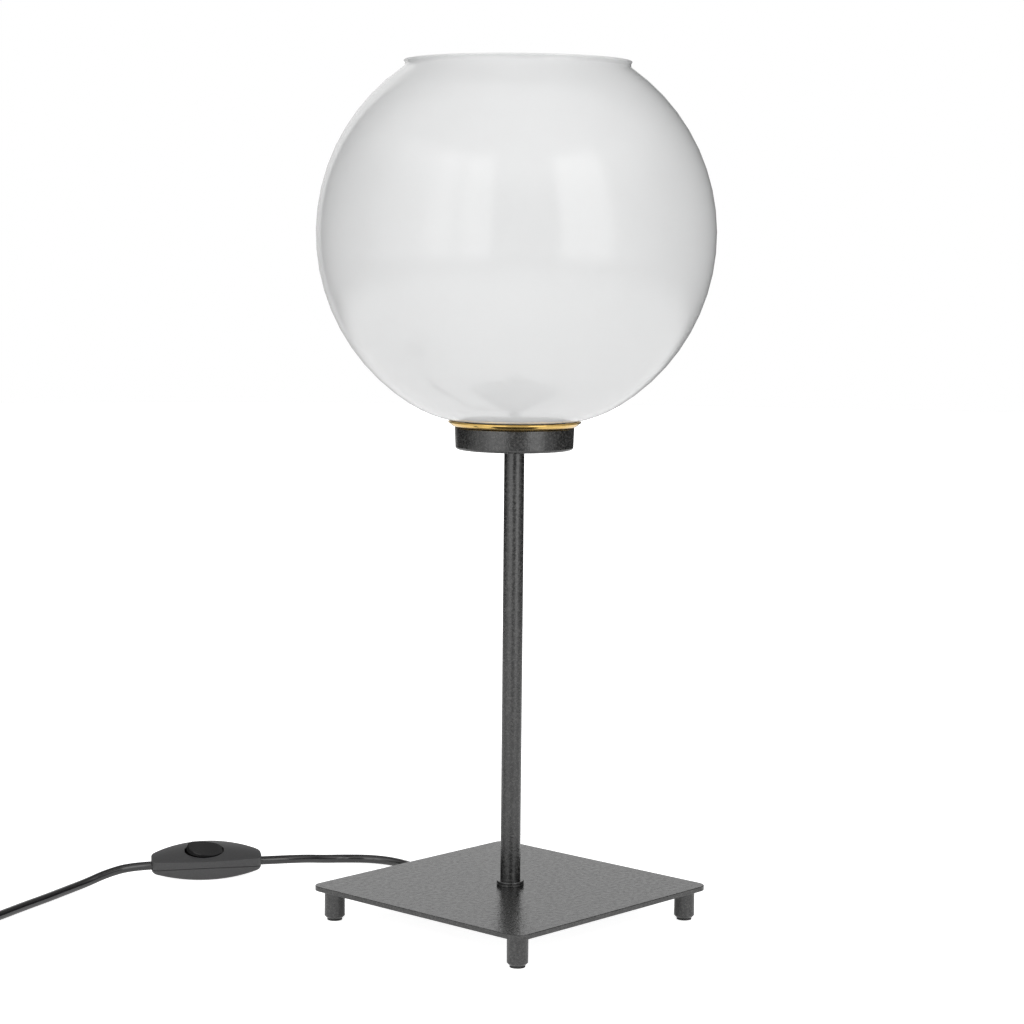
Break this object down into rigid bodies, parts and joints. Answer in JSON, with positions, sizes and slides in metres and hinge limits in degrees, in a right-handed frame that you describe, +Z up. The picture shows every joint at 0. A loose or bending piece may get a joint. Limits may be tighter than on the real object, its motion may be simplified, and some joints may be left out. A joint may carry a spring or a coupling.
{
  "type": "table lamp",
  "caption": "Table lamp with an open-topped opal glass globe in a brass-edged cup, on a slim stem and a square footed plate, with a corded in-line rocker switch.",
  "frame": {"origin": "on the floor under the middle of the square plate", "axes": "+Z up along the stem, X and Y along the sides of the plate; the cord leaves towards +Y"},
  "size_m": [0.4842, 0.4092, 0.5112],
  "materials": {
    "coated_metal": "fine-textured satin",
    "brass": "polished",
    "opal_glass": "gloss",
    "bulb_glass": "frosted",
    "steel": "zinc plated",
    "nickel": "bright",
    "contact_brass": "plain",
    "holder_plastic": "semi-gloss",
    "core_ceramic": "glazed",
    "rubber": "matt",
    "cord_sheath": "satin",
    "wire_brown": "satin",
    "wire_blue": "satin",
    "switch_shell": "fine-textured",
    "rocker_plastic": "satin",
    "plug_plastic": "satin"
  },
  "bodies": {
    "lamp": {"base_nut": "steel", "base_plate": "coated_metal", "base_washer": "steel", "brass_dish": "brass", "case_screws": "steel", "centre_contact": "contact_brass", "clamp_bar": "switch_shell", "clamp_block": "switch_shell", "clamp_screws": "steel", "coil_tie": "plug_plastic", "contact_blades": "contact_brass", "contact_rivets": "contact_brass", "cord_base_to_switch": "cord_sheath", "cord_coil": "cord_sheath", "cord_coil_to_plug": "cord_sheath", "cord_grips": "switch_shell", "cord_switch_to_coil": "cord_sheath", "cup_nut": "steel", "cup_washer": "steel", "dish_seal": "rubber", "foot_back": "coated_metal", "foot_front": "coated_metal", "foot_left": "coated_metal", "foot_pads": "rubber", "foot_right": "coated_metal", "foot_studs": "steel", "glass_globe": "opal_glass", "globe_seal": "rubber", "holder_body": "holder_plastic", "holder_cap": "holder_plastic", "holder_core": "core_ceramic", "holder_cup": "coated_metal", "lower_pipe": "steel", "plug_body": "plug_plastic", "plug_prongs": "nickel", "prong_sleeves": "plug_plastic", "rocker_pin": "steel", "screw_shell": "nickel", "shade_ring": "holder_plastic", "stem_collar": "coated_metal", "stem_lead": "cord_sheath", "stem_tube": "coated_metal", "switch_lower_case": "switch_shell", "switch_upper_case": "switch_shell", "terminal_blocks": "contact_brass", "terminal_screws": "steel", "upper_pipe": "steel", "wire_live": "wire_brown", "wire_neutral": "wire_blue"},
    "bulb_contact": {"bulb_tip": "nickel"},
    "bulb": {"bulb_glass": "bulb_glass", "bulb_base": "nickel", "bulb_bead": "holder_plastic"},
    "rocker": {"switch_rocker": "rocker_plastic"}
  },
  "joints": [
    {"name": "bulb_rise", "type": "slide", "parent": "lamp", "child": "bulb_contact", "axis": [0, 0, 1], "range_m": [0, 0.0146]},
    {"name": "bulb_turn", "type": "hinge", "parent": "bulb_contact", "child": "bulb", "pos_m": [0, 0, 0.3274], "axis": [0, 0, 1], "range_deg": [0, 1440]},
    {"name": "rocker_rock", "type": "hinge", "parent": "lamp", "child": "rocker", "pos_m": [-0.06038, 0.21042, 0.0142], "axis": [0.532, 0.7947, 0.2924], "range_deg": [-16, 0]}
  ],
  "couplings": [
    {"joint": "bulb_rise", "follows": "bulb_turn", "m_per_rad": 0.00057694}
  ]
}
